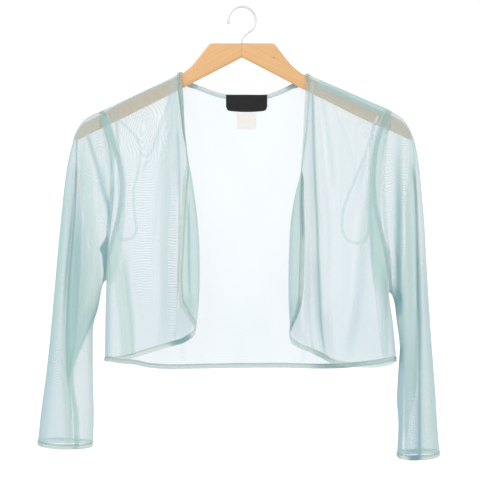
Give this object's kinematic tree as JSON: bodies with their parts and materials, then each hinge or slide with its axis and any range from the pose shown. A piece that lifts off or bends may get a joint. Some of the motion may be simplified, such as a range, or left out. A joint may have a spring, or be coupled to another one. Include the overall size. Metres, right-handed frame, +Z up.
{
  "type": "sheer bolero jacket on wooden hanger",
  "caption": "Open-fronted sheer cropped jacket with three-quarter sleeves and bound edges, hanging on a plain wooden hanger with a wire hook.",
  "frame": {"origin": "inside top of the hook, where it rests on a rail", "axes": "+Z up, -Y out of the jacket's front, +X to the right as the front is faced, which is the wearer's left"},
  "size_m": [0.5243, 0.0591, 0.5902],
  "materials": {
    "mesh_cloth": "fine sheer pale aqua mesh",
    "binding_cloth": "folded strips of the same mesh",
    "ribbon": "narrow satin ribbon",
    "black_label": "woven, bare",
    "white_label": "printed satin, bare",
    "pine": "clear satin lacquer",
    "plated_wire": "bright plated steel wire"
  },
  "bodies": {
    "root": {"back": "mesh_cloth", "right_front": "mesh_cloth", "left_front": "mesh_cloth", "right_sleeve": "mesh_cloth", "left_sleeve": "mesh_cloth", "back_neck_binding": "binding_cloth", "back_hem_binding": "binding_cloth", "right_front_binding": "binding_cloth", "left_front_binding": "binding_cloth", "right_cuff_band": "binding_cloth", "left_cuff_band": "binding_cloth", "right_armhole_tape": "binding_cloth", "left_armhole_tape": "binding_cloth", "right_hanger_loop": "ribbon", "left_hanger_loop": "ribbon", "brand_label": "black_label", "care_label": "white_label", "hanger_arms": "pine", "hanger_hook": "plated_wire"}
  },
  "joints": []
}
